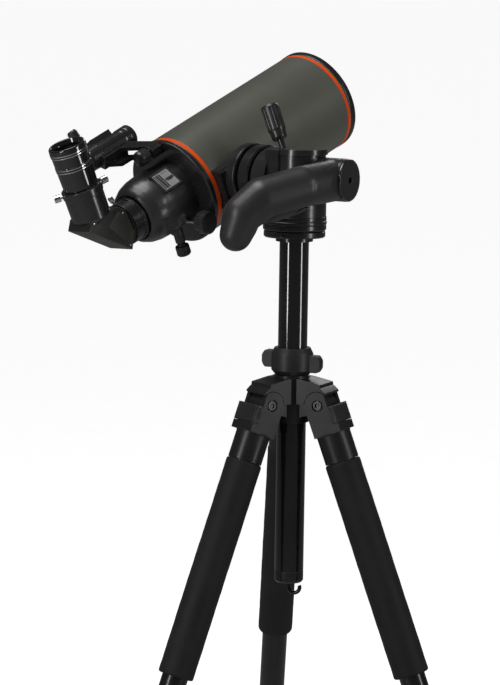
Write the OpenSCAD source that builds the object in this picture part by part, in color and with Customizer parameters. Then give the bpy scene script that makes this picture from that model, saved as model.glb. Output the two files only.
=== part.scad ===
// Short refractor telescope on a pistol-grip ball head and a folding tripod.
// Millimetres, +Z up. The origin is on the floor, at the middle of the base.

/* [Tripod] */
// Leg splay from vertical, against the angle stop
leg_splay = 20.8; // [20.2:0.1:21.4]
// Radius of the circle of leg pivots around the column
pivot_r = 33.8; // [33.4:0.1:34.4]
// Length of one fully drawn-out leg, pivot to foot centre
leg_len = 1010; // [960:5:1060]
// Outside radius of the upper leg tube
upper_r = 12.6; // [12.4:0.1:12.8]
// Outside radius of the lower leg tube
lower_r = 11.0; // [10.8:0.1:11.0]
// Outside radius of the foam grips
foam_r = 17.3; // [17.0:0.1:18.0]

/* [Column] */
// Outside radius of the centre column
col_r = 14; // [13.9:0.05:14]
// Height of the head's foot above the leg pivots
head_z = 154.5; // [150:0.5:160]

/* [Telescope] */
// Outside radius of the main tube
tube_r = 52.4; // [52:0.1:52.6]
// Position of the front end of the tube from the middle of the foot
tube_front = 165; // [160:1:172]
// Optical axis above horizontal
tilt = 23; // [18:0.5:28]
// Compass direction of the foot's normal
swing = 130.94; // [120:1:140]
// Distance from the ball's centre to the optical axis
axis_off = 123; // [122.8:0.1:123.4]
// Height of the ball's centre above the leg pivots
ball_z = 213; // [213:0.5:214]

/* [Hidden] */
$fn = 64;
psi = leg_splay;
foot_ring = pivot_r + leg_len * sin(psi);
pivot_z = leg_len * cos(psi) + 15;
leg_az = [-150, -30, 90];
fit = 0.05;
// pinion axis and eyepiece axis in the telescope's frame
pin_y = -23;
pin_z = -58.3;
diag_z = -150.6;

// ---- frames -------------------------------------------------------------
module column_frame() translate([0, -foot_ring / 4, pivot_z]) children();
// along a leg: +Z runs down the leg, -X points outwards, Y along the hinge pin
module leg_frame(i) column_frame() rotate([0, 0, leg_az[i]]) translate([pivot_r, 0, 0]) rotate([0, 180 - psi, 0]) children();
// along the ball stem: +Z points from the ball to the telescope
module stem_frame() column_frame() translate([0, 0, ball_z]) rotate([0, 0, swing]) rotate([0, 90, 0]) children();
// along the drum of the grip: +Z points to its end cap
module drum_frame() column_frame() translate([0, 0, ball_z + 2]) rotate([0, 0, -35]) rotate([0, 90, 0]) children();
// telescope: +Z is the optical axis towards the sky, -X faces the head, Y is up
module scope_frame() column_frame() translate([axis_off * cos(swing), axis_off * sin(swing), ball_z]) rotate([90 - tilt, 0, swing]) children();
// diagonal: rolled a little about the optical axis
module diag_frame() scope_frame() rotate([0, 0, -2.6]) children();
module ring(ro, ri, z0, z1) translate([0, 0, z0]) difference() {
    cylinder(r = ro, h = z1 - z0);
    translate([0, 0, -1]) cylinder(r = ri, h = z1 - z0 + 2);
}
module turned(pts) rotate_extrude($fn = 96) polygon(pts);

// ---- tripod -------------------------------------------------------------
module crown_arm() rotate([90, 0, 0]) {
    // hood over the leg's ears, stepped down to the angle stop at its outer end
    translate([0, 0, -16]) linear_extrude(height = 32) difference() {
        polygon([[12, 24.4], [17, 24], [35.9, 20.2], [36.4, 17], [37.8, 16.2], [41.8, 12.7], [42, 11.2], [44.9, 4.6],
            [pivot_r + 8, 3.3], [24, 0], [12, 0]]);
        translate([pivot_r, 0]) circle(r = 13.7);
    }
    // tongue between the ears
    translate([0, 0, -10.5]) linear_extrude(height = 21) difference() {
        union() {
            translate([pivot_r, 0]) circle(r = 9.5);
            polygon([[12, 16], [pivot_r, 16], [pivot_r + 5.4, 7.8], [pivot_r, -9.5], [16, -12.2], [12, -14]]);
        }
        translate([pivot_r, 0]) circle(r = 4 + fit);
    }
}
module hub_spider() color("#26272a") column_frame() difference() {
    union() {
        translate([0, 0, -19]) cylinder(r = 16.8, h = 39);
        translate([0, 0, 18]) cylinder(r = 17.4, h = 7);
        translate([0, 0, 25]) cylinder(r = 16, h = 1.2);
        for (a = leg_az) rotate([0, 0, a]) crown_arm();
    }
    translate([0, 0, -40]) cylinder(r = col_r + fit, h = 90);
    for (a = leg_az) rotate([0, 0, a]) translate([pivot_r, 0, 0]) rotate([90, 0, 0]) cylinder(r = 4 + fit, h = 60, center = true);
}
module pivot_bolts() color("#8d9094") for (i = [0:2]) leg_frame(i) rotate([90, 0, 0]) {
    difference() {
        union() {
            translate([0, 0, -14]) cylinder(r = 4, h = 28);
            translate([0, 0, 13.9]) cylinder(r = 4.6, h = 2.3);
            translate([0, 0, -16.2]) cylinder(r = 4.6, h = 2.3);
        }
        translate([0, 0, 14.6]) cylinder(r = 2.4, h = 3, $fn = 6);
        translate([0, 0, -17.6]) cylinder(r = 2.4, h = 3, $fn = 6);
    }
}
module column_lock() color("#2b2c2f") column_frame() difference() {
    union() {
        turned([[13, 26.6], [16.6, 26.6], [20.1, 31], [20.1, 46.6], [17.2, 52.6], [13, 52.6]]);
        for (k = [0, 1]) rotate([0, 0, k == 0 ? 152 : -28]) intersection() {
            translate([10, -5, k == 0 ? 32.4 : 29.4]) cube([24, 10, 16.4]);
            cylinder(r = 30.2, h = 80);
            translate([19.4, 0, k == 0 ? 40.6 : 37.6]) rotate([90, 0, 0]) cylinder(r = 10.8, h = 40, center = true);
        }
    }
    translate([0, 0, 20]) cylinder(r = col_r + fit, h = 40);
}
module center_column() color("#141416") column_frame() ring(col_r, col_r - 1.5, -165, head_z + 20);
module column_end_cap() color("#1b1c1e") column_frame() difference() {
    union() {
        translate([0, 0, -165]) cylinder(r = col_r - 1.5, h = 14);
        translate([0, 0, -174]) cylinder(r = col_r, h = 9);
        translate([0, 0, -176]) cylinder(r1 = col_r - 1.6, r2 = col_r, h = 2);
    }
    translate([0, 0, -180]) cylinder(r = 2 + fit, h = 40);
}
module weight_hook() color("#b9bcc0") column_frame() {
    translate([0, 0, -181]) cylinder(r = 2, h = 27);
    translate([0, 0, -178.6]) cylinder(r = 4.4, h = 2.3);
    translate([0, 0, -181]) rotate([90, 0, -20]) translate([5.5, -0.5, 0]) rotate([0, 0, 180]) rotate_extrude(angle = 200, $fn = 48) translate([5.5, 0]) circle(r = 1.9, $fn = 24);
}
module ear_profile() {
    circle(r = 13.2);
    polygon([[-13.2, 0], [13.2, 0], [13.2, 24], [-13.2, 24]]);
}
module leg_casting(i) color("#2c2d30") leg_frame(i) difference() {
    union() {
        for (s = [-1, 1]) translate([0, s * 13.6, 0]) rotate([90, 0, 0]) translate([0, 0, -2.6]) linear_extrude(height = 5.2) ear_profile();
        translate([-15.6, -16.2, 21.2]) cube([28.8, 32.4, 8]);
        translate([-9.8, -16.2, 14.8]) cube([23, 32.4, 12]);
        translate([0, 0, 28]) cylinder(r1 = 17, r2 = 16.4, h = 3);
        translate([0, 0, 31]) cylinder(r = 16.4, h = 25.8);
    }
    // pin bore and the recess for its heads
    rotate([90, 0, 0]) cylinder(r = 4 + fit, h = 60, center = true);
    for (s = [-1, 1]) translate([0, s * 16.2, 0]) rotate([90, 0, 0]) cylinder(r = 5.7, h = 4.8, center = true);
    // socket for the upper tube
    translate([0, 0, 21.4]) cylinder(r = upper_r, h = 60);
    // seat of the angle tab
    translate([-40, -30, -20]) cube([30.2, 60, 41]);
}
module angle_tab(i) color("#3a3b3e") leg_frame(i) difference() {
    union() {
        translate([-15.6, -16.6, 3.4]) cube([5.7, 33.2, 17.4]);
        translate([-16.4, -14.6, 4.6]) cube([2, 29.2, 14.8]);
        translate([-10.4, -10.4, 14.9]) cube([0.5, 20.8, 5.9]);
    }
    for (s = [-1, 1]) translate([-14.4, s * 16.6 - 0.5, 6]) cube([1.4, 1, 12.4]);
    for (s = [-1, 1]) translate([-12, s * 16.6 - 0.5, 6]) cube([1.4, 1, 12.4]);
}
module upper_tube(i) color("#17181a") leg_frame(i) ring(upper_r, lower_r + fit, 21.4, 520);
module foam_grip(i) color("#1c1c1d") leg_frame(i) difference() {
    turned([[5, 57], [foam_r - 1.4, 57], [foam_r, 58.6], [foam_r, 269.4], [foam_r - 1.4, 271], [5, 271]]);
    translate([0, 0, 50]) cylinder(r = upper_r, h = 240);
}
module leg_lock(i) color("#232426") leg_frame(i) difference() {
    union() {
        turned([[5, 496], [14.6, 496], [16.8, 499], [16.8, 503], [17.6, 504], [17.6, 540], [16.2, 544], [12.6, 548], [5, 548]]);
    }
    translate([0, 0, 480]) cylinder(r = upper_r + fit, h = 40.4);
    translate([0, 0, 500]) cylinder(r = lower_r + fit, h = 60);
    for (a = [0:30:359]) rotate([0, 0, a]) translate([18.6, 0, 506]) cylinder(r = 2.2, h = 32, $fn = 24);
}
module lower_leg(i) color("#1d1e20") leg_frame(i) ring(lower_r, lower_r - 1.5, 440, leg_len - 12);
module foot(i) color("#202021") leg_frame(i) difference() {
    turned(concat([[0, leg_len - 30], [lower_r - 1.5, leg_len - 30], [lower_r - 1.5, leg_len - 22], [14.2, leg_len - 22], [15, leg_len - 16], [15, leg_len]],
        [for (a = [7.5:7.5:82.5]) [15 * cos(a), leg_len + 15 * sin(a)]], [[0, leg_len + 15]]));
    translate([0, 0, leg_len - 40]) ring(lower_r, lower_r - 1.5, 0, 28);
}

// ---- head ---------------------------------------------------------------
module head_base() color("#222326") column_frame() difference() {
    turned([[0, head_z + 20], [col_r - 0.01, head_z + 20], [col_r, head_z + 2.4], [col_r, head_z], [17.8, head_z], [17.8, head_z + 4], [28.2, head_z + 4], [29.4, head_z + 5.2],
        [29.4, head_z + 9.4], [28.4, head_z + 10.4], [19, head_z + 10.4], [19, head_z + 21], [9, head_z + 21], [9, head_z + 34], [0, head_z + 34]]);
    translate([0, 0, head_z - 1]) cylinder(r = col_r, h = 21);
}
module pan_ring() color("#303236") column_frame() difference() {
    turned([[19.05, head_z + 10.8], [29.4, head_z + 10.8], [30.2, head_z + 11.8], [30.2, head_z + 16], [29.5, head_z + 16.5], [30.6, head_z + 17], [30.6, head_z + 19.4],
        [29.8, head_z + 19.9], [30.3, head_z + 20.4], [30.3, head_z + 24], [19.05, head_z + 24]]);
}
module grip_core() column_frame() {
    // root round the drum, then a swept handle
    hull() {
        translate([37, -26, ball_z + 2]) sphere(r = 19.6, $fn = 32);
        translate([2, -54, ball_z - 2.5]) sphere(r = 19.6, $fn = 32);
    }
    hull() {
        translate([2, -54, ball_z - 2.5]) sphere(r = 19.6, $fn = 32);
        translate([-37, -66, ball_z - 13]) sphere(r = 20, $fn = 32);
    }
    hull() {
        translate([-37, -66, ball_z - 13]) sphere(r = 20, $fn = 32);
        translate([-55, -69, ball_z - 28]) sphere(r = 18.8, $fn = 32);
    }
    hull() {
        translate([-55, -69, ball_z - 28]) sphere(r = 18.8, $fn = 32);
        translate([-61.5, -69, ball_z - 47]) sphere(r = 15.2, $fn = 32);
    }
}
module head_body() color("#232427") {
    difference() {
        union() {
            column_frame() turned([[0, head_z + 24], [29.8, head_z + 24], [29.8, head_z + 36], [27, head_z + 41], [0, head_z + 41]]);
            column_frame() translate([4.4, -3, head_z + 36]) cylinder(r = 24, h = 47);
            column_frame() translate([5, -3.6, head_z + 83]) cylinder(r1 = 25.2, r2 = 24.6, h = 5);
            // neck and the round nose that the ball sits in
            column_frame() rotate([0, 0, swing]) translate([0, -24, head_z + 36]) cube([17, 48, 51]);
            stem_frame() translate([0, 0, 14]) cylinder(r = 29.4, h = 17);
            drum_frame() cylinder(r = 20.4, h = 35);
        }
        // pan spindle, ball seat and mouth
        column_frame() cylinder(r = 9 + fit, h = head_z + 34.2);
        stem_frame() sphere(r = 17.3, $fn = 64);
        stem_frame() cylinder(r = 16.4, h = 60);
        // threaded hole of the tension knob
        knob_frame() translate([0, 0, -20]) cylinder(r = 3 + fit, h = 40);
    }
}
module knob_frame() column_frame() translate([-12.3, 6, 244.2]) rotate([0, 0, swing]) rotate([0, 26, 0]) children();
module tension_knob() color("#1d1e20") knob_frame() difference() {
    union() {
        translate([0, 0, -8]) cylinder(r = 3, h = 24);
        turned([[0, 7], [6.4, 7], [7.4, 8.4], [7.9, 15], [8.6, 17], [9.2, 39], [8.2, 41.2], [0, 41.8]]);
    }
    for (a = [0:45:359]) rotate([0, 0, a]) translate([10.2, 0, 17]) cylinder(r = 1.9, h = 21, $fn = 16);
}
module ball_stem() color("#2a2b2e") stem_frame() {
    sphere(r = 17, $fn = 64);
    translate([0, 0, 8]) cylinder(r = 11, h = 28);
    turned([[0, 34.6], [29.4, 34.6], [31, 36.2], [31, 46.4], [29.8, 47.8], [24, 47.8], [24, 51], [5, 51], [5, 58], [0, 58]]);
}
module clamp_plate() color("#26272a") stem_frame() difference() {
    turned([[5 + fit, 51.3], [30.6, 51.3], [31.9, 52.6], [31.9, 61.4], [30.6, 62.8], [5 + fit, 62.8]]);
}
module hand_grip() color("#151516") difference() {
    union() {
        grip_core();
        drum_frame() translate([0, 0, 35]) cylinder(r = 20.4, h = 21.6);
    }
    drum_frame() translate([0, 0, -30]) cylinder(r = 20.41, h = 65);
    drum_frame() translate([0, 0, 48]) cylinder(r = 3.2, h = 60);
    drum_frame() translate([0, 0, 56.6]) cylinder(r = 40, h = 60);
    column_frame() translate([0, 0, head_z + 8]) cylinder(r = 30.8, h = 34);
    column_frame() translate([4.4, -3, head_z + 30]) cylinder(r = 24.4, h = 60);
    column_frame() translate([5, -3.6, head_z + 82.5]) cylinder(r = 25.6, h = 10);
    // channel under the handle that the trigger lies in
    trigger_frame() translate([-8, -18, -6.6]) cube([60, 23, 13.2]);
}
module trigger_frame() column_frame() translate([1, -54, ball_z - 17]) rotate([0, 0, 198]) rotate([0, 20, 0]) rotate([90, 0, 0]) children();
module grip_trigger() color("#0f0f10") trigger_frame() difference() {
    translate([0, 0, -6]) linear_extrude(height = 12) union() {
        translate([0, -4]) circle(r = 3.6);
        polygon([[0, -7.6], [14, -7.8], [30, -6.6], [44, -4], [46, -2], [44, -0.6], [0, -0.6]]);
    }
    translate([0, -4, -10]) cylinder(r = 1.5, h = 20);
}
module grip_end_cap() color("#2a2a2b") drum_frame() turned([[3.2, 56.6], [20.2, 56.6], [20.2, 58], [19.4, 59.2], [3.2, 59.2]]);

// ---- telescope ----------------------------------------------------------
module tube_foot() color("#242527") scope_frame() difference() {
    translate([0, 0, -34]) linear_extrude(height = 60) polygon([[-60.2, -17.4], [-57.4, -20], [-44, -20], [-44, 20], [-57.4, 20], [-60.2, 17.4]]);
    translate([0, 0, -100]) cylinder(r = tube_r, h = 300, $fn = 128);
    stem_clear();
}
module stem_clear() translate([-62, 0, 0]) rotate([0, 90, 0]) cylinder(r = 5.4, h = 4.2);
module main_tube() color("#4c4d45") scope_frame() difference() {
    translate([0, 0, -40]) cylinder(r = tube_r, h = tube_front + 40, $fn = 160);
    translate([0, 0, -60]) cylinder(r = tube_r - 1.6, h = 300, $fn = 160);
    ring(tube_r + 5, tube_r - 0.6, -39, -34.6);
    ring(tube_r + 5, tube_r - 0.6, tube_front - 5, tube_front - 1.2);
}
module trim_bands() color("#c63c06") scope_frame() {
    ring(tube_r + 0.12, tube_r - 0.6, -39, -34.6);
    ring(tube_r + 0.12, tube_r - 0.6, tube_front - 5, tube_front - 1.2);
}
module front_cell() color("#141415") scope_frame() turned([[45.5, 136], [tube_r - 1.6, 136], [tube_r - 1.6, tube_front], [tube_r + 0.1, tube_front], [tube_r + 0.5, tube_front + 1], [tube_r + 0.5, tube_front + 5.8],
    [tube_r - 0.3, tube_front + 6.6], [49.5, tube_front + 6.6], [49, tube_front + 6], [49, tube_front - 4], [47, tube_front - 4], [47, tube_front - 21], [43.5, tube_front - 22.4], [43.5, 136]]);
module objective_lenses() color("#7fa3b8", 0.5) scope_frame() {
    // crown and flint, almost touching
    turned([[0, 146.4], [46.9, 149.6], [46.9, 154.2], [38, 156.4], [26, 158.4], [13, 159.6], [0, 160]]);
    turned([[0, 142.9], [20, 143.3], [46.9, 144.1], [46.9, 149.4], [0, 146.2]]);
}
module lens_retainer() color("#1a1a1b") scope_frame() turned([[44, 156], [46.96, 154.4], [46.96, tube_front - 4.2], [45.6, tube_front - 4.2], [44, 158.4]]);
module rear_cell() color("#1a1b1c") scope_frame() difference() {
    turned([[27, -44], [27, -46.2], [40, -46.2], [51.6, -46], [tube_r + 1.1, -45], [tube_r + 1.1, -41], [tube_r, -40], [tube_r - 1.6, -40], [tube_r - 1.6, -26], [tube_r - 4, -26], [tube_r - 4, -42], [40, -42.6]]);
    translate([0, 0, -80]) cylinder(r = 24, h = 60);
}
module focuser_body() color("#2a2b2c") scope_frame() difference() {
    union() {
        turned([[20, -46.2], [32, -46.2], [32.4, -58], [33, -74], [32.2, -86], [30.4, -94], [27, -101], [24.4, -103.4], [20, -103.8]]);
        // fairing under the barrel that holds the pinion
        translate([-17, 0, 0]) rotate([0, 90, 0]) rotate([0, 0, 90]) linear_extrude(height = 34) polygon([[-15, 46.2], [-47, 46.2], [-46.6, 50], [-41.6, 60.6], [-34, 75.4], [-26, 90], [-15, 94]]);
        // boss on the side, and the raised frame of the index window
        translate([-32, -18, -95]) cube([12, 14, 17]);
        rotate([0, 0, 130]) translate([24, -12, -80]) cube([10, 24, 23.6]);
        // boss of the lock screw
        translate([-11, 0, -64]) rotate([90, 0, 0]) cylinder(r = 5, h = 44);
    }
    translate([0, 0, -120]) cylinder(r = 16.5 + fit, h = 100);
    translate([0, 0, -120]) cylinder(r = 23.4, h = 22);
    // slot for the rack under the drawtube
    translate([-4.4, -20, -120]) cube([8.8, 12, 100]);
    // space of the pinion and the bore of its shaft
    translate([0, pin_y, pin_z]) rotate([0, 90, 0]) cylinder(r = 4.4, h = 12, center = true);
    translate([0, pin_y, pin_z]) rotate([0, 90, 0]) cylinder(r = 2.5 + fit, h = 90, center = true);
    // bore of the lock screw
    translate([-11, 0, -64]) rotate([90, 0, 0]) cylinder(r = 2 + fit, h = 80);
    // window pocket
    rotate([0, 0, 130]) translate([32, -10, -78.4]) cube([10, 20, 20.4]);
}
module index_plate() color("#c9cbcd") scope_frame() rotate([0, 0, 130]) difference() {
    translate([32, -10, -78.4]) cube([1.6, 20, 20.4]);
    translate([33, -8, -76.4]) cube([2, 16, 7]);
    translate([33, -8, -67.4]) cube([2, 16, 7.4]);
}
module drawtube() color("#1f2021") scope_frame() {
    difference() {
        union() {
            translate([0, 0, -110]) cylinder(r = 16.5, h = 80);
            translate([0, 0, -118.7]) cylinder(r = 21, h = 13.4);
            translate([0, 0, -108]) cylinder(r = 22.2, h = 3.6);
        }
        translate([0, 0, -130]) cylinder(r = 14, h = 120);
        translate([0, 0, -130]) cylinder(r = 18.6, h = 19.8);
        translate([0, 0, -114]) rotate([-90, 0, 0]) cylinder(r = 1.6 + fit, h = 60);
    }
    // rack
    difference() {
        translate([-4, -19.4, -103]) cube([8, 3.6, 72]);
        translate([0, 0, -124]) cylinder(r = 15.6, h = 98);
        for (k = [0:21]) translate([-5, -20, -102.4 + k * 3.2]) cube([10, 1.4, 1.6]);
    }
}
module focus_pinion() color("#b0b3b6") scope_frame() translate([0, pin_y, pin_z]) rotate([0, 90, 0]) {
    cylinder(r = 2.5, h = 100, center = true);
    difference() {
        cylinder(r = 3.4, h = 8, center = true);
        for (a = [0:30:359]) rotate([0, 0, a]) translate([3.4, 0, 0]) cylinder(r = 0.4, h = 9, center = true, $fn = 16);
    }
}
module focus_knobs() color("#2a2b2c") scope_frame() translate([0, pin_y, pin_z]) for (s = [0, 1]) mirror([s, 0, 0]) rotate([0, 90, 0]) difference() {
    turned([[0, 41.4], [8, 41.4], [10.8, 42.4], [11.3, 43.4], [11.3, 52], [10.2, 53.2], [0, 53.6]]);
    translate([0, 0, 20]) cylinder(r = 2.5, h = 30);
    for (a = [0:18:359]) rotate([0, 0, a]) translate([12, 0, 43.8]) cylinder(r = 1.2, h = 7.6, $fn = 16);
}
module focus_lock() color("#1a1a1b") scope_frame() translate([-11, 0, -64]) rotate([90, 0, 0]) difference() {
    union() {
        translate([0, 0, 14]) cylinder(r = 2, h = 33);
        turned([[0, 44.4], [3.2, 44.4], [4.2, 46], [4.4, 47.6], [6.6, 48], [6.9, 49], [7, 56.4], [6, 57.8], [0, 58.2]]);
    }
    for (a = [0:30:359]) rotate([0, 0, a]) translate([7.7, 0, 48.4]) cylinder(r = 1.2, h = 7.6, $fn = 16);
}
module diagonal_housing() color("#26272a") diag_frame() difference() {
    union() {
        translate([14.6, 0, 0]) rotate([0, -90, 0]) linear_extrude(height = 29.2) polygon([[-122.5, 18.5], [-129.2, 25], [-163.6, 27], [-170.4, 17.9], [-129.2, -20.3], [-119.6, -5.7]]);
        translate([0, 0, -119.4]) cylinder(r = 18.55, h = 9);
        translate([0, 0, -130]) cylinder(r = 14.5, h = 12);
    }
    translate([0, 25, diag_z]) rotate([-90, 0, 0]) cylinder(r = 18.8, h = 20);
    translate([0, 0, -134.4]) cylinder(r = 13.4, h = 60);
    translate([0, 14.3, diag_z]) rotate([-90, 0, 0]) cylinder(r = 13.4, h = 40);
    // prism space
    translate([13.4, 0, 0]) rotate([0, -90, 0]) linear_extrude(height = 26.8) polygon([[-134.4, 14.3], [-162.6, 14.3], [-162.6, 13.6], [-135.8, -12.4], [-134.4, -12.4]]);
}
module diagonal_plates() color("#34352f") diag_frame() for (s = [0, 1]) mirror([s, 0, 0]) translate([14.6, 0, 0]) difference() {
    translate([1.6, 0, 0]) rotate([0, -90, 0]) linear_extrude(height = 1.6) polygon([[-119.6, -5.6], [-122.4, 18.4], [-129.2, 24.8], [-163.4, 26.8], [-170.2, 17.9], [-129.2, -20.1]]);
    for (p = [[-126, 17], [-162, 22.6], [-128.6, -15.4]]) translate([0, p[1], p[0]]) rotate([0, 90, 0]) cylinder(r = 1.2, h = 5);
    translate([-14.6, 25, diag_z]) rotate([-90, 0, 0]) cylinder(r = 18.81, h = 20);
}
module diagonal_prism() color("#9db8c4", 0.5) diag_frame() translate([13.2, 0, 0]) rotate([0, -90, 0]) linear_extrude(height = 26.4) polygon([[-135.8, 14.1], [-162.4, 14.1], [-135.8, -11.8]]);
module sock_frame() diag_frame() translate([0, 0, diag_z]) rotate([-90, 0, 0]) children();
module eyepiece_socket() color("#2b2c2e") sock_frame() difference() {
    turned([[14, 25], [18.8, 25], [19, 48], [19.8, 48.6], [19.8, 55], [19.1, 55.8], [15.95, 55.8], [15.95, 31], [14, 31]]);
    for (a = [52, 256]) rotate([0, 0, a]) translate([0, 0, 51.6]) rotate([0, 90, 0]) cylinder(r = 1.6 + fit, h = 60);
}
module socket_screws() color("#d8dadc") {
    sock_frame() for (a = [52, 256]) rotate([0, 0, a]) translate([0, 0, 51.6]) rotate([0, 90, 0]) {
        translate([0, 0, 16.2]) cylinder(r = 1.6, h = 6);
        translate([0, 0, 21.4]) cylinder(r = 3.6, h = 6.4);
    }
}
module eyepiece_body() color("#111112") sock_frame() difference() {
    turned([[13.6, 32], [15.87, 32], [15.87, 56.2], [16.6, 56.2], [16.9, 60], [17.4, 75.6], [17.8, 76], [17.8, 80.4], [17.5, 80.8], [17.8, 90.4], [18.2, 90.8], [18.3, 94.6], [18, 98.6],
        [17, 99.8], [15.6, 99.6], [13.6, 95], [13.6, 88], [12.2, 88], [12.2, 74], [13.6, 73]]);
}
module eyepiece_lenses() color("#87a6b4", 0.5) sock_frame() {
    turned([[0, 85.6], [5, 85.4], [12.2, 84], [12.2, 81.6], [0, 81.4]]);
    turned([[0, 66], [13.6, 64.4], [13.6, 60.6], [0, 59]]);
    turned([[0, 53.4], [13.6, 52], [13.6, 48], [0, 46.6]]);
}
module finder_frame() scope_frame() translate([37, 59, 0]) children();
// bracket: X runs from its stem to the finder, Y across, Z along the telescope
module arm_frame() scope_frame() translate([2, 47.5, 0]) rotate([0, 0, 18]) children();
module finder_bracket() color("#2a2b2d") difference() {
    arm_frame() {
        translate([0, 0, -59.6]) cylinder(r = 6.8, h = 13.4);
        translate([0, 0, -62.6]) cylinder(r = 5, h = 5);
        translate([0, 6.4, 0]) rotate([90, 0, 0]) linear_extrude(height = 4) polygon([[-6, -48], [5, -48], [28, -66], [28, -82], [4, -60.4], [-6, -60.4]]);
        translate([0, -3, 0]) rotate([90, 0, 0]) linear_extrude(height = 4) polygon([[-3, -54], [3, -54], [12, -65], [28, -80], [28, -100], [12, -84], [12, -71], [6, -60], [-3, -59.6]]);
        translate([21, -7, -99]) cube([7.6, 13.4, 33]);
        translate([24, -7.6, -96]) cube([8, 15, 30]);
    }
    finder_frame() translate([0, 0, -120]) cylinder(r = 10.4, h = 80);
    finder_frame() translate([0, 0, -120]) cylinder(r = 12.05, h = 29.4);
}
module finder_scope() color("#3a3c3e") finder_frame() difference() {
    union() {
        turned([[6, -107.6], [9.6, -107.6], [11.6, -105.4], [12, -93], [10.4, -91], [10.4, -61], [10.9, -60], [11, -54.4], [10.6, -54], [11, -53.4], [11.1, -47.4], [10.2, -46.4], [9.2, -46.4], [9.2, -60], [6, -98]]);
        rotate([0, 0, 58]) translate([8, -5, -92.6]) cube([7.2, 10, 26]);
        rotate([0, 0, 58]) translate([9, 0, -101]) rotate([0, 90, 0]) cylinder(r = 4.4, h = 9);
    }
    for (a = [0:20:359]) rotate([0, 0, a]) translate([11.9, 0, -52]) cylinder(r = 1.1, h = 4.4, $fn = 16);
}
module finder_dial() color("#2c2d2f") finder_frame() rotate([0, 0, 58]) translate([18.05, 0, -101]) rotate([0, 90, 0]) difference() {
    turned([[0, 0], [3, 0], [3, 5.6], [5, 6.4], [5.2, 13], [4.2, 14.8], [0, 15.2]]);
    for (a = [0:45:359]) rotate([0, 0, a]) translate([5.9, 0, 6.8]) cylinder(r = 1.1, h = 6, $fn = 16);
}
module finder_clamp() color("#2c2d2f") arm_frame() translate([0, 0, -62.7]) rotate([180, 0, 0]) difference() {
    turned([[0, 0], [5.8, 0], [7.6, 1.6], [7.7, 10], [6.9, 12], [3.6, 13.6], [0, 14]]);
    for (a = [0:30:359]) rotate([0, 0, a]) translate([8.5, 0, 1.9]) cylinder(r = 1.2, h = 7.6, $fn = 16);
}

hub_spider();
pivot_bolts();
column_lock();
center_column();
column_end_cap();
weight_hook();
leg_casting(0);  // leg_casting_l
leg_casting(1);  // leg_casting_r
leg_casting(2);  // leg_casting_b
angle_tab(0);  // angle_tab_l
angle_tab(1);  // angle_tab_r
angle_tab(2);  // angle_tab_b
upper_tube(0);  // upper_tube_l
upper_tube(1);  // upper_tube_r
upper_tube(2);  // upper_tube_b
foam_grip(0);  // foam_grip_l
foam_grip(1);  // foam_grip_r
foam_grip(2);  // foam_grip_b
leg_lock(0);  // leg_lock_l
leg_lock(1);  // leg_lock_r
leg_lock(2);  // leg_lock_b
lower_leg(0);  // lower_leg_l
lower_leg(1);  // lower_leg_r
lower_leg(2);  // lower_leg_b
foot(0);  // foot_l
foot(1);  // foot_r
foot(2);  // foot_b
head_base();
pan_ring();
head_body();
ball_stem();
clamp_plate();
tension_knob();
hand_grip();
grip_trigger();
grip_end_cap();
tube_foot();
main_tube();
trim_bands();
front_cell();
objective_lenses();
lens_retainer();
rear_cell();
focuser_body();
index_plate();
drawtube();
focus_pinion();
focus_knobs();
focus_lock();
diagonal_housing();
diagonal_plates();
diagonal_prism();
eyepiece_socket();
socket_screws();
eyepiece_body();
eyepiece_lenses();
finder_bracket();
finder_scope();
finder_dial();
finder_clamp();
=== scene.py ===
import math

import bmesh
import bpy
import numpy as np
from mathutils import Matrix, Vector


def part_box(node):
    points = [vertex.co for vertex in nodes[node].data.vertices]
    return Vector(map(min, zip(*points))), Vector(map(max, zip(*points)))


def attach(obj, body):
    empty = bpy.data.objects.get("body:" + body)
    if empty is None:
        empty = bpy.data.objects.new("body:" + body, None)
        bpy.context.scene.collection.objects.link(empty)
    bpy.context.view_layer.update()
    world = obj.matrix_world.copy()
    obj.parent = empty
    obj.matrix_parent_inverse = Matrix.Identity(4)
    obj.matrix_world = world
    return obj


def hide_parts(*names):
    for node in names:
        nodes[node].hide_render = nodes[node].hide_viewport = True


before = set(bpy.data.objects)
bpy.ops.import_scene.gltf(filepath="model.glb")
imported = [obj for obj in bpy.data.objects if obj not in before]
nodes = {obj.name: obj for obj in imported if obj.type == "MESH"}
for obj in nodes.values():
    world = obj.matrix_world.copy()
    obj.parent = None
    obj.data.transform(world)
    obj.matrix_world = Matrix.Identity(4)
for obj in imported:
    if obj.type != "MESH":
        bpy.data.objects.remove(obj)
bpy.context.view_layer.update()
scene = bpy.context.scene
scene.view_settings.view_transform = "Standard"
scene.view_settings.look = "None"


# ---- frames of the CAD model, in millimetres ----------------------------------
def rot(axis, degrees):
    return Matrix.Rotation(math.radians(degrees), 4, axis)


def move(x, y, z):
    return Matrix.Translation((x, y, z))


SWING = 130.94
COLUMN = move(0, -98.115, 959.17)
LEG = {k: COLUMN @ rot("Z", a) @ move(33.8, 0, 0) @ rot("Y", 180 - 20.8) for k, a in (("l", -150), ("r", -30), ("b", 90))}
STEM = COLUMN @ move(0, 0, 213) @ rot("Z", SWING) @ rot("Y", 90)
DRUM = COLUMN @ move(0, 0, 215) @ rot("Z", -35) @ rot("Y", 90)
SCOPE = COLUMN @ move(123 * math.cos(math.radians(SWING)), 123 * math.sin(math.radians(SWING)), 213) @ rot("Z", SWING) @ rot("X", 67)
DIAG = SCOPE @ rot("Z", -2.6)
SOCK = DIAG @ move(0, 0, -150.6) @ rot("X", -90)
FINDER = SCOPE @ move(37, 59, 0)
ARM = SCOPE @ move(2, 47.5, 0) @ rot("Z", 18)
KNOB = COLUMN @ move(-12.3, 6, 244.2) @ rot("Z", SWING) @ rot("Y", 26)
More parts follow.
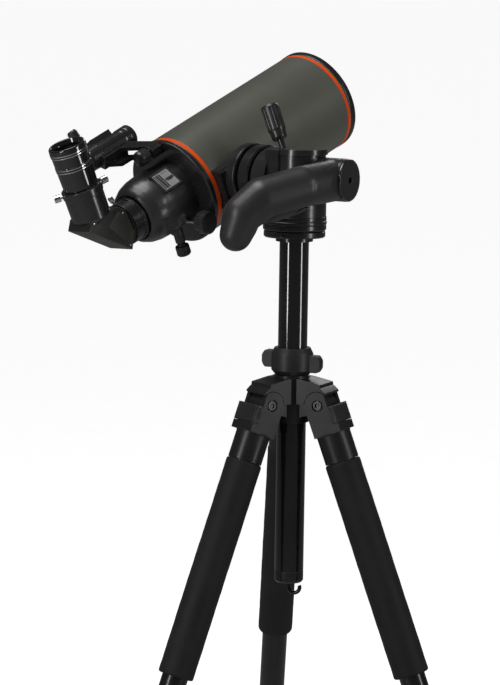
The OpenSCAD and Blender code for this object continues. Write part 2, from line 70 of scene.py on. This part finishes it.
MM = Matrix.Scale(0.001, 4)


# ---- camera --------------------------------------------------------------------
def make_camera():
    data = bpy.data.cameras.new("camera")
    data.sensor_width = 36.0
    data.sensor_fit = "AUTO"
    data.lens = 147.2
    data.clip_start = 0.05
    data.clip_end = 3000
    data.dof.use_dof = False
    obj = bpy.data.objects.new("camera", data)
    scene.collection.objects.link(obj)
    fw = Vector((0.0833, 0.9879, -0.1305)).normalized()
    rt = Vector((0.9965, -0.0821, 0.0146))
    rt = (rt - fw * rt.dot(fw)).normalized()
    up = rt.cross(fw).normalized()
    m = Matrix((rt, up, -fw)).transposed().to_4x4()
    m.translation = Vector((-0.2639, -2.7424, 1.3652))
    obj.matrix_world = m
    scene.camera = obj
    return fw, rt, up


FW, RT, UP = make_camera()


# ---- light ---------------------------------------------------------------------
def softbox(name, place, target, wide, tall, power, color=(1, 1, 1)):
    data = bpy.data.lights.new(name, "AREA")
    data.shape = "RECTANGLE"
    data.size = wide
    data.size_y = tall
    data.energy = power
    data.color = color
    obj = bpy.data.objects.new(name, data)
    scene.collection.objects.link(obj)
    obj.location = place
    obj.rotation_euler = (Vector(target) - Vector(place)).to_track_quat("-Z", "Y").to_euler()
    return obj


softbox("soft_top", (-0.7, -0.2, 3.0), (0, -0.1, 1.1), 1.5, 1.2, 36)
softbox("soft_left", (-2.3, -1.9, 1.7), (-0.05, -0.1, 1.0), 0.4, 2.2, 40)
softbox("soft_right", (2.2, -1.5, 1.5), (0.05, -0.1, 0.95), 0.4, 2.2, 26)
softbox("soft_back", (0.9, 2.2, 2.3), (0, 0, 1.1), 1.4, 1.0, 12)

world = bpy.data.worlds.new("studio")
scene.world = world
world.use_nodes = True
wt = world.node_tree
wt.nodes.clear()
w_out = wt.nodes.new("ShaderNodeOutputWorld")
w_bright = wt.nodes.new("ShaderNodeBackground")
w_bright.inputs["Color"].default_value = (1, 1, 1, 1)
w_bright.inputs["Strength"].default_value = 1.0
w_fill = wt.nodes.new("ShaderNodeBackground")
w_fill.inputs["Color"].default_value = (1, 1, 1, 1)
w_fill.inputs["Strength"].default_value = 0.3
w_dim = wt.nodes.new("ShaderNodeBackground")
w_dim.inputs["Color"].default_value = (0.92, 0.95, 1, 1)
w_dim.inputs["Strength"].default_value = 0.07
w_path = wt.nodes.new("ShaderNodeLightPath")
w_mix = wt.nodes.new("ShaderNodeMixShader")
w_mix2 = wt.nodes.new("ShaderNodeMixShader")
wt.links.new(w_path.outputs["Is Glossy Ray"], w_mix.inputs[0])
wt.links.new(w_fill.outputs[0], w_mix.inputs[1])
wt.links.new(w_dim.outputs[0], w_mix.inputs[2])
wt.links.new(w_path.outputs["Is Camera Ray"], w_mix2.inputs[0])
wt.links.new(w_mix.outputs[0], w_mix2.inputs[1])
wt.links.new(w_bright.outputs[0], w_mix2.inputs[2])
wt.links.new(w_mix2.outputs[0], w_out.inputs["Surface"])


# ---- materials -----------------------------------------------------------------
def material(name, color, rough, metal=0.0, tint=None, grain=1400.0, bump=0.12, depth=0.00008, rough_var=0.1,
             wear=0.35, wear_color=(0.3, 0.3, 0.3), edge=0.0006, coat=0.0, specular=0.5, cells=0.0, lines=None,
             sheen=0.0, smudge=14.0, aniso=0.0, bands=None):
    """A moulded, painted or machined surface: colour drift, smudges, fine grain and rubbed edges."""
    m = bpy.data.materials.new(name)
    m.use_nodes = True
    nt = m.node_tree
    new, link = nt.nodes.new, nt.links.new
    b = nt.nodes["Principled BSDF"]
    b.inputs["Metallic"].default_value = metal
    b.inputs["Specular IOR Level"].default_value = specular
    b.inputs["Coat Weight"].default_value = coat
    b.inputs["Coat Roughness"].default_value = 0.08
    b.inputs["Sheen Weight"].default_value = sheen
    b.inputs["Sheen Roughness"].default_value = 0.5
    b.inputs["Anisotropic"].default_value = aniso
    tc = new("ShaderNodeTexCoord")
    drift = new("ShaderNodeTexNoise")
    drift.inputs["Scale"].default_value = smudge
    drift.inputs["Detail"].default_value = 6
    drift.inputs["Roughness"].default_value = 0.62
    fine = new("ShaderNodeTexNoise")
    fine.inputs["Scale"].default_value = grain
    fine.inputs["Detail"].default_value = 4
    for t in (drift, fine):
        link(tc.outputs["Object"], t.inputs["Vector"])
    mix = new("ShaderNodeMix")
    mix.data_type = "RGBA"
    c2 = tint or tuple(min(1, c * 1.28 + 0.002) for c in color)
    mix.inputs[6].default_value = (*color, 1)
    mix.inputs[7].default_value = (*c2, 1)
    spread = new("ShaderNodeMapRange")
    spread.inputs["From Min"].default_value = 0.35
    spread.inputs["From Max"].default_value = 0.68
    link(drift.outputs["Fac"], spread.inputs["Value"])
    link(spread.outputs["Result"], mix.inputs[0])
    shade = mix.outputs[2]
    height = fine.outputs["Fac"]
    if cells:
        cell = new("ShaderNodeTexVoronoi")
        cell.inputs["Scale"].default_value = cells
        link(tc.outputs["Object"], cell.inputs["Vector"])
        add = new("ShaderNodeMath")
        add.operation = "ADD"
        link(cell.outputs["Distance"], add.inputs[0])
        link(fine.outputs["Fac"], add.inputs[1])
        height = add.outputs[0]
    if lines:
        # fine turning lines around an axis: (frame, lines per metre, share)
        axis, pitch, share = lines
        inv = (axis.to_3x3().normalized().transposed()).to_4x4()
        mp = new("ShaderNodeMapping")
        mp.inputs["Rotation"].default_value = inv.to_euler()
        link(tc.outputs["Object"], mp.inputs["Vector"])
        wave = new("ShaderNodeTexWave")
        wave.bands_direction = "Z"
        wave.inputs["Scale"].default_value = pitch
        wave.inputs["Distortion"].default_value = 0.4
        wave.inputs["Detail"].default_value = 2
        link(mp.outputs["Vector"], wave.inputs["Vector"])
        scale = new("ShaderNodeMath")
        scale.operation = "MULTIPLY_ADD"
        scale.inputs[1].default_value = share
        link(wave.outputs["Fac"], scale.inputs[0])
        link(height, scale.inputs[2])
        height = scale.outputs[0]
    # rubbed edges
    bev = new("ShaderNodeBevel")
    bev.samples = 4
    bev.inputs["Radius"].default_value = edge
    geo = new("ShaderNodeNewGeometry")
    dot = new("ShaderNodeVectorMath")
    dot.operation = "DOT_PRODUCT"
    link(bev.outputs["Normal"], dot.inputs[0])
    link(geo.outputs["Normal"], dot.inputs[1])
    rub = new("ShaderNodeMapRange")
    rub.inputs["From Min"].default_value = 0.99
    rub.inputs["From Max"].default_value = 0.86
    rub.inputs["To Min"].default_value = 0.0
    rub.inputs["To Max"].default_value = wear
    link(dot.outputs["Value"], rub.inputs["Value"])
    scuff = new("ShaderNodeTexNoise")
    scuff.inputs["Scale"].default_value = 160
    scuff.inputs["Detail"].default_value = 5
    link(tc.outputs["Object"], scuff.inputs["Vector"])
    patch = new("ShaderNodeMapRange")
    patch.inputs["From Min"].default_value = 0.4
    patch.inputs["From Max"].default_value = 0.62
    link(scuff.outputs["Fac"], patch.inputs["Value"])
    worn = new("ShaderNodeMath")
    worn.operation = "MULTIPLY"
    link(rub.outputs["Result"], worn.inputs[0])
    link(patch.outputs["Result"], worn.inputs[1])
    top = new("ShaderNodeMix")
    top.data_type = "RGBA"
    top.inputs[7].default_value = (*wear_color, 1)
    link(worn.outputs[0], top.inputs[0])
    link(shade, top.inputs[6])
    link(top.outputs[2], b.inputs["Base Color"])
    rr = new("ShaderNodeMapRange")
    rr.inputs["From Min"].default_value = 0.3
    rr.inputs["From Max"].default_value = 0.7
    rr.inputs["To Min"].default_value = max(0.02, rough - rough_var)
    rr.inputs["To Max"].default_value = min(1, rough + rough_var)
    link(drift.outputs["Fac"], rr.inputs["Value"])
    link(rr.outputs["Result"], b.inputs["Roughness"])
    bp = new("ShaderNodeBump")
    bp.inputs["Strength"].default_value = bump
    bp.inputs["Distance"].default_value = depth
    link(height, bp.inputs["Height"])
    link(bp.outputs["Normal"], b.inputs["Normal"])
    return m


def glass(name, tint, rough=0.01):
    m = material(name, tint, rough, bump=0.01, wear=0.05, rough_var=0.004, grain=60)
    b = m.node_tree.nodes["Principled BSDF"]
    b.inputs["Transmission Weight"].default_value = 0.9
    b.inputs["IOR"].default_value = 1.52
    b.inputs["Coat Weight"].default_value = 0.5
    b.inputs["Coat Tint"].default_value = (0.55, 0.75, 1.0, 1)
    return m


MAT = {
    "casting": material("casting_plastic", (0.0075, 0.0075, 0.008), 0.36, specular=0.3, grain=2600, bump=0.2, depth=0.00012, wear=0.25, wear_color=(0.16, 0.16, 0.165)),
    "tab": material("tab_plastic", (0.0105, 0.0105, 0.011), 0.42, specular=0.3, grain=2600, bump=0.2, depth=0.00012, wear=0.4, wear_color=(0.2, 0.2, 0.2)),
    "bolt": material("bolt_steel", (0.045, 0.045, 0.048), 0.28, metal=1.0, wear=0.5, wear_color=(0.5, 0.5, 0.5), lines=(LEG["l"] @ rot("X", 90), 900, 0.6)),
    "tube_gloss": material("gloss_black_tube", (0.0045, 0.0045, 0.005), 0.09, coat=0.6, rough_var=0.03, bump=0.03, grain=500, wear=0.2, smudge=22),
    "leg_tube": material("satin_black_tube", (0.008, 0.008, 0.0085), 0.26, metal=0.3, specular=0.4, coat=0.2, rough_var=0.06, bump=0.05, wear=0.3, smudge=18),
    "foam": material("closed_cell_foam", (0.0048, 0.0048, 0.005), 0.66, specular=0.22, cells=900, grain=2200, bump=0.5, depth=0.00022, rough_var=0.08, wear=0.1, wear_color=(0.05, 0.05, 0.05), sheen=0.02, smudge=24),
    "rubber": material("moulded_rubber", (0.017, 0.017, 0.017), 0.62, grain=1800, bump=0.35, depth=0.00015, wear=0.45, wear_color=(0.1, 0.095, 0.09)),
    "hook": material("plated_steel", (0.035, 0.035, 0.037), 0.2, metal=1.0, wear=0.3, wear_color=(0.9, 0.9, 0.9), bump=0.04),
    "head_metal": material("turned_black_metal", (0.012, 0.012, 0.013), 0.27, metal=0.35, coat=0.25, lines=(COLUMN, 1400, 0.5), bump=0.07, wear=0.4, wear_color=(0.24, 0.24, 0.25)),
    "stem_metal": material("turned_black_stem", (0.012, 0.012, 0.013), 0.27, metal=0.35, coat=0.25, lines=(STEM, 1400, 0.5), bump=0.07, wear=0.4, wear_color=(0.24, 0.24, 0.25)),
    "shell": material("head_shell_plastic", (0.011, 0.011, 0.0115), 0.3, specular=0.4, coat=0.15, bump=0.1, grain=2600, wear=0.3, wear_color=(0.15, 0.15, 0.15)),
    "knob": material("knob_plastic", (0.01, 0.01, 0.0105), 0.31, specular=0.4, bump=0.12, grain=2400, wear=0.45, wear_color=(0.17, 0.17, 0.17)),
    "grip": material("soft_touch_grip", (0.0115, 0.0115, 0.012), 0.37, specular=0.42, bump=0.14, grain=3000, depth=0.0001, wear=0.1, sheen=0.0, rough_var=0.05, smudge=20),
    "lever": material("lever_plastic", (0.009, 0.009, 0.009), 0.22, coat=0.3, bump=0.06, wear=0.3),
    "paint": material("olive_satin_paint", (0.084, 0.085, 0.07), 0.34, tint=(0.093, 0.094, 0.078), coat=0.15, metal=0.35, bump=0.06, grain=3400, depth=0.00005, wear=0.2, wear_color=(0.3, 0.3, 0.28), rough_var=0.045, smudge=7),
    "orange": material("orange_trim_paint", (0.5, 0.045, 0.0008), 0.42, specular=0.12, tint=(0.56, 0.06, 0.001), bump=0.05, wear=0.2, wear_color=(0.8, 0.25, 0.08), coat=0.0),
    "cell": material("cell_plastic", (0.0075, 0.0075, 0.008), 0.24, coat=0.2, specular=0.4, bump=0.05, grain=1800, wear=0.3, wear_color=(0.14, 0.14, 0.145), lines=(SCOPE, 700, 0.25)),
    "focuser": material("focuser_plastic", (0.013, 0.013, 0.0135), 0.32, coat=0.1, specular=0.42, bump=0.1, grain=2600, wear=0.3, wear_color=(0.18, 0.18, 0.18)),
    "index": material("index_plate_satin", (0.2, 0.2, 0.2), 0.45, metal=0.3, bump=0.08, wear=0.2, wear_color=(0.7, 0.7, 0.7), rough_var=0.06),
    "draw": material("drawtube_anodised", (0.012, 0.012, 0.0125), 0.26, metal=0.4, coat=0.2, bump=0.08, lines=(SCOPE, 1300, 0.6), wear=0.35, wear_color=(0.25, 0.25, 0.26)),
    "steel": material("brushed_steel", (0.5, 0.5, 0.52), 0.24, metal=1.0, bump=0.1, wear=0.2, wear_color=(0.8, 0.8, 0.8), lines=(SCOPE @ rot("Y", 90), 1500, 0.5)),
    "diag": material("diagonal_gloss", (0.011, 0.011, 0.0115), 0.19, coat=0.4, bump=0.05, wear=0.4, wear_color=(0.3, 0.3, 0.3)),
    "side": material("diagonal_side_plate", (0.021, 0.021, 0.0175), 0.4, specular=0.35, bump=0.1, grain=2400, wear=0.5, wear_color=(0.3, 0.3, 0.28), metal=0.2),
    "panel": material("side_panel_satin", (0.026, 0.0255, 0.021), 0.5, bump=0.1, grain=2600, wear=0.3, specular=0.3),
    "socket": material("socket_anodised", (0.018, 0.018, 0.019), 0.24, metal=0.4, coat=0.25, lines=(SOCK, 1300, 0.5), bump=0.08, wear=0.35, wear_color=(0.25, 0.25, 0.25)),
    "chrome": material("thumbscrew_chrome", (0.66, 0.67, 0.69), 0.14, metal=1.0, wear=0.2, wear_color=(0.95, 0.95, 0.95), bump=0.06),
    "eyepiece": material("eyepiece_gloss", (0.005, 0.005, 0.0055), 0.1, coat=0.6, rough_var=0.03, bump=0.03, grain=800, wear=0.4, wear_color=(0.4, 0.4, 0.4)),
    "bright": material("bright_cut_line", (0.8, 0.8, 0.81), 0.18, metal=1.0, bump=0.05, wear=0.1, lines=(SOCK, 2500, 0.5)),
    "finder": material("finder_plastic", (0.011, 0.011, 0.0115), 0.27, coat=0.15, specular=0.42, bump=0.08, grain=2600, wear=0.35, wear_color=(0.22, 0.22, 0.22)),
    "bracket": material("bracket_gloss", (0.009, 0.009, 0.0095), 0.17, coat=0.4, bump=0.05, wear=0.35, wear_color=(0.25, 0.25, 0.25)),
    # near-black for the index window: printed ticks, plus painted shade standing in for the dark inside of the long
    # slot
    "dark": material("index_marks_painted_slot_shade", (0.004, 0.004, 0.004), 0.6, bump=0.1, wear=0.1),
    "lens": glass("coated_glass", (0.86, 0.95, 1.0)),
}

ASSIGN = {
    "casting": ["hub_spider", "leg_casting_l", "leg_casting_r", "leg_casting_b"],
    "tab": ["angle_tab_l", "angle_tab_r", "angle_tab_b", "column_lock", "leg_lock_l", "leg_lock_r", "leg_lock_b"],
    "bolt": ["pivot_bolts"],
    "tube_gloss": ["center_column"],
    "leg_tube": ["upper_tube_l", "upper_tube_r", "upper_tube_b", "lower_leg_l", "lower_leg_r", "lower_leg_b"],
    "foam": ["foam_grip_l", "foam_grip_r", "foam_grip_b"],
    "rubber": ["foot_l", "foot_r", "foot_b"],
    "hook": ["weight_hook"],
    "head_metal": ["head_base", "pan_ring", "column_end_cap"],
    "stem_metal": ["ball_stem", "clamp_plate"],
    "shell": ["head_body"],
    "knob": ["tension_knob", "focus_knobs", "focus_lock", "finder_dial", "finder_clamp"],
    "grip": ["hand_grip"],
    "lever": ["grip_trigger", "grip_end_cap"],
    "paint": ["main_tube"],
    "orange": ["trim_bands"],
    "cell": ["tube_foot", "front_cell", "lens_retainer", "rear_cell"],
    "focuser": ["focuser_body"],
    "index": ["index_plate"],
    "draw": ["drawtube"],
    "steel": ["focus_pinion"],
    "diag": ["diagonal_housing"],
    "side": ["diagonal_plates"],
    "socket": ["eyepiece_socket"],
    "chrome": ["socket_screws"],
    "eyepiece": ["eyepiece_body"],
    "lens": ["objective_lenses", "diagonal_prism", "eyepiece_lenses"],
    "finder": ["finder_scope"],
    "bracket": ["finder_bracket"],
}


def smooth_cad(obj, width=0.00035):
    """Rounds the edges that would catch light and smooths the curved faces, with modifiers only."""
    for p in obj.data.polygons:
        p.use_smooth = True
    weld = obj.modifiers.new("weld", "WELD")
    weld.merge_threshold = 0.000004
    if width:
        bev = obj.modifiers.new("bevel", "BEVEL")
        bev.width = width
        bev.segments = 3
        bev.limit_method = "ANGLE"
        bev.angle_limit = math.radians(34)
        bev.use_clamp_overlap = True
    wn = obj.modifiers.new("normals", "WEIGHTED_NORMAL")
    wn.mode = "FACE_AREA_WITH_ANGLE"
    wn.weight = 60
    wn.keep_sharp = False


# moulded parts have broader corners than machined ones
SOFT = {"hub_spider": 0.0009, "column_lock": 0.0009, "head_body": 0.0007, "focuser_body": 0.0008, "tube_foot": 0.0008,
        "finder_bracket": 0.0007, "finder_scope": 0.0007, "grip_trigger": 0.0008}
for k in "lrb":
    SOFT["angle_tab_" + k] = 0.0016
    SOFT["leg_casting_" + k] = 0.0009

for key, names in ASSIGN.items():
    for n in names:
        o = nodes[n]
        o.data.materials.clear()
        o.data.materials.append(MAT[key])
        smooth_cad(o, SOFT.get(n, 0.0002 if key in ("lens", "steel", "index") else 0.00035))


# ---- mesh helpers ----------------------------------------------------------------
def from_bmesh(bm, name, mat, smooth=True):
    mesh = bpy.data.meshes.new(name)
    bm.to_mesh(mesh)
    bm.free()
    obj = bpy.data.objects.new(name, mesh)
    scene.collection.objects.link(obj)
    mesh.materials.append(mat)
    if smooth:
        for p in mesh.polygons:
            p.use_smooth = True
    return obj


def lathe(name, where, profile, mat, seg=160, ripple=None, angle=32):
    """A closed turned solid from (radius, height) points, in millimetres; ripple(a, r, z) gives a radius change."""
    bm = bmesh.new()
    rings = []
    for i in range(seg):
        a = 2 * math.pi * i / seg
        ring = []
        for r, z in profile:
            rr = r + (ripple(a, r, z) if ripple else 0)
            ring.append(bm.verts.new((where @ Vector((rr * math.cos(a), rr * math.sin(a), z))) * 0.001))
        rings.append(ring)
    n = len(profile)
    for i in range(seg):
        p, q = rings[i], rings[(i + 1) % seg]
        for j in range(n):
            k = (j + 1) % n
            if (Vector(profile[j]) - Vector(profile[k])).length > 1e-6:
                bm.faces.new((p[j], q[j], q[k], p[k]))
    bmesh.ops.remove_doubles(bm, verts=bm.verts, dist=1e-7)
    bmesh.ops.recalc_face_normals(bm, faces=bm.faces)
    obj = from_bmesh(bm, name, mat)
    obj.data.set_sharp_from_angle(angle=math.radians(angle))
    return obj


def arc_round(points, r=0.4, steps=4):
    """Rounds the corners of a closed (radius, height) outline."""
    out = []
    n = len(points)
    for i in range(n):
        p, a, b = Vector(points[i]), Vector(points[i - 1]), Vector(points[(i + 1) % n])
        u, v = a - p, b - p
        k = min(r, u.length * 0.45, v.length * 0.45)
        if k < 1e-4 or abs(u.normalized().dot(v.normalized())) > 0.999:
            out.append(tuple(p))
            continue
        s, e = p + u.normalized() * k, p + v.normalized() * k
        for t in range(steps + 1):
            f = t / steps
            out.append(tuple(s * (1 - f) ** 2 + p * 2 * f * (1 - f) + e * f * f))
    return out


def hexhead(name, where, r, h, mat, sides=24, socket=0.45, notch=True):
    """A small screw head with a rounded rim and a round socket recess."""
    prof = [(0, 0), (r, 0), (r, h * 0.55), (r * 0.86, h * 0.92), (r * 0.7, h), (r * socket, h), (r * socket * 0.9, h * 0.45), (0, h * 0.4)]
    return lathe(name, where, prof, mat, seg=sides)


# ---- foam grips ------------------------------------------------------------------
def foam(k):
    where = LEG[k]
    prof = [(12.62, 57.2)]
    for i in range(9):
        t = math.pi / 2 * i / 8
        prof.append((15.0 + 2.2 * math.sin(t), 57.2 + 2.2 * (1 - math.cos(t))))
    for i in range(60):
        z = 60.6 + 206.8 * i / 59
        prof.append((17.16 + 0.07 * math.sin(z * 0.21 + ord(k)) + 0.05 * math.sin(z * 0.53), z))
    for i in range(9):
        t = math.pi / 2 * (8 - i) / 8
        prof.append((15.0 + 2.2 * math.sin(t), 270.8 - 2.2 * (1 - math.cos(t))))
    prof.append((12.62, 270.8))
    obj = lathe("foam_sleeve_" + k, where, prof, MAT["foam"], seg=128,
                ripple=lambda a, r, z: 0.05 * math.sin(3 * a + z * 0.05) if r > 13 else 0)
    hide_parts("foam_grip_" + k)
    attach(obj, "leg_" + k)
    return obj


for k in "lrb":
    foam(k)


# ---- the hand grip, blended smooth -------------------------------------------------
def grip():
    src = nodes["hand_grip"]
    mesh = src.data.copy()
    obj = bpy.data.objects.new("grip_skin", mesh)
    scene.collection.objects.link(obj)
    rem = obj.modifiers.new("remesh", "REMESH")
    rem.mode = "VOXEL"
    rem.voxel_size = 0.0011
    dg = bpy.context.evaluated_depsgraph_get()
    out = bpy.data.meshes.new_from_object(obj.evaluated_get(dg))
    obj.modifiers.clear()
    obj.data = out
    nv = len(out.vertices)
    co = np.zeros(nv * 3)
    out.vertices.foreach_get("co", co)
    co = co.reshape(-1, 3)
    ed = np.zeros(len(out.edges) * 2, int)
    out.edges.foreach_get("vertices", ed)
    ed = ed.reshape(-1, 2)
    inv = (MM @ DRUM).inverted()
    m = np.array(inv)
    loc = co @ m[:3, :3].T + m[:3, 3]
    # the drum's end stays crisp, the swept handle is smoothed most
    keep = np.clip((loc[:, 2] - 44) / 8, 0, 1)
    rate = 0.55 * (1 - keep) + 0.12 * keep
    deg = np.bincount(ed.ravel(), minlength=nv).astype(float)[:, None]
    for it in range(46):
        acc = np.zeros_like(co)
        np.add.at(acc, ed[:, 0], co[ed[:, 1]])
        np.add.at(acc, ed[:, 1], co[ed[:, 0]])
        step = acc / deg - co
        lam = rate if it % 2 == 0 else -rate * 0.86
        co = co + step * lam[:, None]
    # seam where the handle meets the drum
    loc = co @ m[:3, :3].T + m[:3, 3]
    d = np.abs(loc[:, 2] - 50.2)
    dirs = loc.copy()
    dirs[:, 2] = 0
    dirs /= np.maximum(np.linalg.norm(dirs, axis=1), 1e-6)[:, None]
    groove = np.exp(-(d / 0.55) ** 2) * 0.45
    shift = -dirs * groove[:, None] * 0.001
    r3 = np.array(DRUM.to_3x3())
    co = co + shift @ r3.T
    out.vertices.foreach_set("co", co.ravel())
    out.update()
    for p in out.polygons:
        p.use_smooth = True
    out.materials.clear()
    out.materials.append(MAT["grip"])
    obj.data.name = "grip_skin"
    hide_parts("hand_grip")
    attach(obj, "head")
    return obj


grip()


# ---- bright lines, screws and small fittings ---------------------------------------
def band(name, where, r, z0, z1, mat, body, lift=0.06):
    o = lathe(name, where, [(r - 0.4, z0), (r + lift * 0.6, z0), (r + lift, z0 + 0.1), (r + lift, z1 - 0.1), (r + lift * 0.6, z1), (r - 0.4, z1)], mat, seg=144)
    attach(o, body)
    return o


band("eyepiece_line_a", SOCK, 17.7, 76.3, 77.0, MAT["bright"], "eyepiece", 0.1)
band("eyepiece_line_b", SOCK, 17.72, 78.9, 79.5, MAT["bright"], "eyepiece", 0.1)
band("eyepiece_line_c", SOCK, 18.24, 91.2, 91.8, MAT["bright"], "eyepiece", 0.06)
band("eyepiece_line_d", SOCK, 18.28, 93.4, 94.0, MAT["bright"], "eyepiece", 0.05)


def screw(name, where, r, h, body, mat="chrome"):
    o = hexhead(name, where, r, h, MAT[mat])
    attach(o, body)
    return o


# diagonal cover screws, sunk in the side plates
for s in (0, 1):
    for i, (z, y) in enumerate(((-126, 17), (-162, 22.6), (-128.6, -15.4))):
        side = 1 if s == 0 else -1
        w = DIAG @ move(side * 14.75, y, z) @ rot("Y", 90 * side)
        screw(f"cover_screw_{s}_{i}", w, 1.12, 1.25, "diagonal")


# ---- the diagonal's back cover, with its four corner screws ------------------------
def plate(name, where, corners, thick, mat, bevel=0.25):
    """A flat plate with rounded edges on a closed outline, standing on its own XY plane, in millimetres."""
    bm = bmesh.new()
    low = [bm.verts.new((x, y, 0)) for x, y in corners]
    high = [bm.verts.new((x, y, thick)) for x, y in corners]
    n = len(corners)
    bm.faces.new(low[::-1])
    bm.faces.new(high)
    for i in range(n):
        bm.faces.new((low[i], low[(i + 1) % n], high[(i + 1) % n], high[i]))
    bmesh.ops.bevel(bm, geom=list(bm.edges), offset=bevel, segments=2, profile=0.5, affect="EDGES")
    bmesh.ops.transform(bm, matrix=MM @ where, verts=bm.verts)
    bmesh.ops.recalc_face_normals(bm, faces=bm.faces)
    obj = from_bmesh(bm, name, mat)
    obj.data.set_sharp_from_angle(angle=math.radians(40))
    return obj


def axes(origin, x, y):
    """A frame from an origin and two directions, in millimetres."""
    x = Vector(x).normalized()
    z = x.cross(Vector(y)).normalized()
    y = z.cross(x)
    m = Matrix((x, y, z)).transposed().to_4x4()
    m.translation = Vector(origin)
    return m


# along the slanted face: from (y 17.9, z -170.4) to (y -20.3, z -129.2)
slant = Vector((0, -20.3 - 17.9, -129.2 + 170.4))
reach = slant.length
BACK = DIAG @ axes((0, 17.9, -170.4), (-1, 0, 0), slant)
back = plate("back_cover", BACK, [(-16.0, 0.2), (16.0, 0.2), (16.0, reach - 0.2), (-16.0, reach - 0.2)], 1.1, MAT["side"], 0.3)
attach(back, "diagonal")
for i, (x, y) in enumerate(((-14.4, 2.6), (14.4, 2.6), (-14.4, reach - 2.6), (14.4, reach - 2.6), (-14.4, reach * 0.5), (14.4, reach * 0.5))):
    screw(f"back_screw_{i}", BACK @ move(x, y, 1.0), 1.1, 0.9, "diagonal")

# thin raised frame and recessed panel on each side cover
for s in (0, 1):
    side = 1 if s == 0 else -1
    outline = [(-124.4, -2.8), (-126.4, 15.4), (-131.5, 20.6), (-148.2, 12.2), (-139.6, 0.6), (-129.6, -13.6)]
    w = DIAG @ move(side * 16.2, 0, 0) @ rot("Y", -90)
    pts = [(z, y) for z, y in outline]
    pan = plate(f"side_panel_{s}", w @ move(0, 0, -0.35 if side == 1 else -0.05), pts, 0.4, MAT["panel"], 0.15)
    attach(pan, "diagonal")

# ---- focuser: lock screw of the diagonal at the mouth, and the index window ----------
a = math.radians(60)
w = SCOPE @ rot("Z", 60) @ move(20.5, 0, -112) @ rot("Y", 90)
thumb = lathe("mouth_screw", w, arc_round([(0, -1), (1.5, -1), (1.5, 2.2), (2.4, 2.4), (2.6, 3), (2.6, 7.6), (2.0, 8.4), (0, 8.5)], 0.25, 3), MAT["chrome"], seg=96,
              ripple=lambda a, r, z: 0.1 * math.cos(24 * a) if r > 2.3 and 3 < z < 7.8 else 0)
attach(thumb, "draw")

lo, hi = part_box("index_plate")
IDX = SCOPE @ rot("Z", 130)
inv = (MM @ IDX).inverted()
pts = [inv @ v.co for v in nodes["index_plate"].data.vertices]
x0, x1 = max(p.x for p in pts), min(p.x for p in pts)
y0, y1 = min(p.y for p in pts), max(p.y for p in pts)
z0, z1 = min(p.z for p in pts), max(p.z for p in pts)
SURF = IDX @ move(x0, 0, 0) @ rot("Y", 90)      # local x runs along -axis, local y across
# dark bars on the index window: the three cross bars are printed ticks; the long narrow bar is painted slot shade, a
# flat dark plate where the slot's shade would fall
bars = []
for i, (f0, f1, g0, g1) in enumerate(((0.05, 0.11, 0.06, 0.94), (0.18, 0.30, 0.06, 0.94), (0.36, 0.41, 0.06, 0.94), (0.46, 0.96, 0.44, 0.58))):
    za, zb = z0 + (z1 - z0) * f0, z0 + (z1 - z0) * f1
    ya, yb = y0 + (y1 - y0) * g0, y0 + (y1 - y0) * g1
    bars.append([(-zb, ya), (-za, ya), (-za, yb), (-zb, yb)])
for i, c in enumerate(bars):
    o = plate(f"index_bar_{i}", SURF @ move(0, 0, -0.05), c, 0.16, MAT["dark"], 0.05)
    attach(o, "scope")

# ---- floor -------------------------------------------------------------------------
bm = bmesh.new()
bmesh.ops.create_grid(bm, x_segments=24, y_segments=24, size=600)
pale = material("pale_floor", (0.84, 0.84, 0.84), 0.6, tint=(0.85, 0.85, 0.85), bump=0.02, wear=0.0, specular=0.1, grain=300)
nt = pale.node_tree
glow = nt.nodes.new("ShaderNodeEmission")
glow.inputs["Color"].default_value = (1, 1, 1, 1)
glow.inputs["Strength"].default_value = 0.72
path = nt.nodes.new("ShaderNodeLightPath")
lit = nt.nodes.new("ShaderNodeAddShader")
pick = nt.nodes.new("ShaderNodeMixShader")
base = nt.nodes["Principled BSDF"]
out = [n for n in nt.nodes if n.type == "OUTPUT_MATERIAL"][0]
nt.links.new(base.outputs[0], lit.inputs[0])
nt.links.new(glow.outputs[0], lit.inputs[1])
nt.links.new(path.outputs["Is Camera Ray"], pick.inputs[0])
nt.links.new(base.outputs[0], pick.inputs[1])
nt.links.new(lit.outputs[0], pick.inputs[2])
nt.links.new(pick.outputs[0], out.inputs["Surface"])
# what mirrors in the object is a darker studio floor
dusk = nt.nodes.new("ShaderNodeBsdfDiffuse")
dusk.inputs["Color"].default_value = (0.3, 0.3, 0.3, 1)
seen = nt.nodes.new("ShaderNodeMixShader")
nt.links.new(path.outputs["Is Glossy Ray"], seen.inputs[0])
nt.links.new(pick.outputs[0], seen.inputs[1])
nt.links.new(dusk.outputs[0], seen.inputs[2])
nt.links.new(seen.outputs[0], out.inputs["Surface"])
floor = from_bmesh(bm, "floor", pale, False)
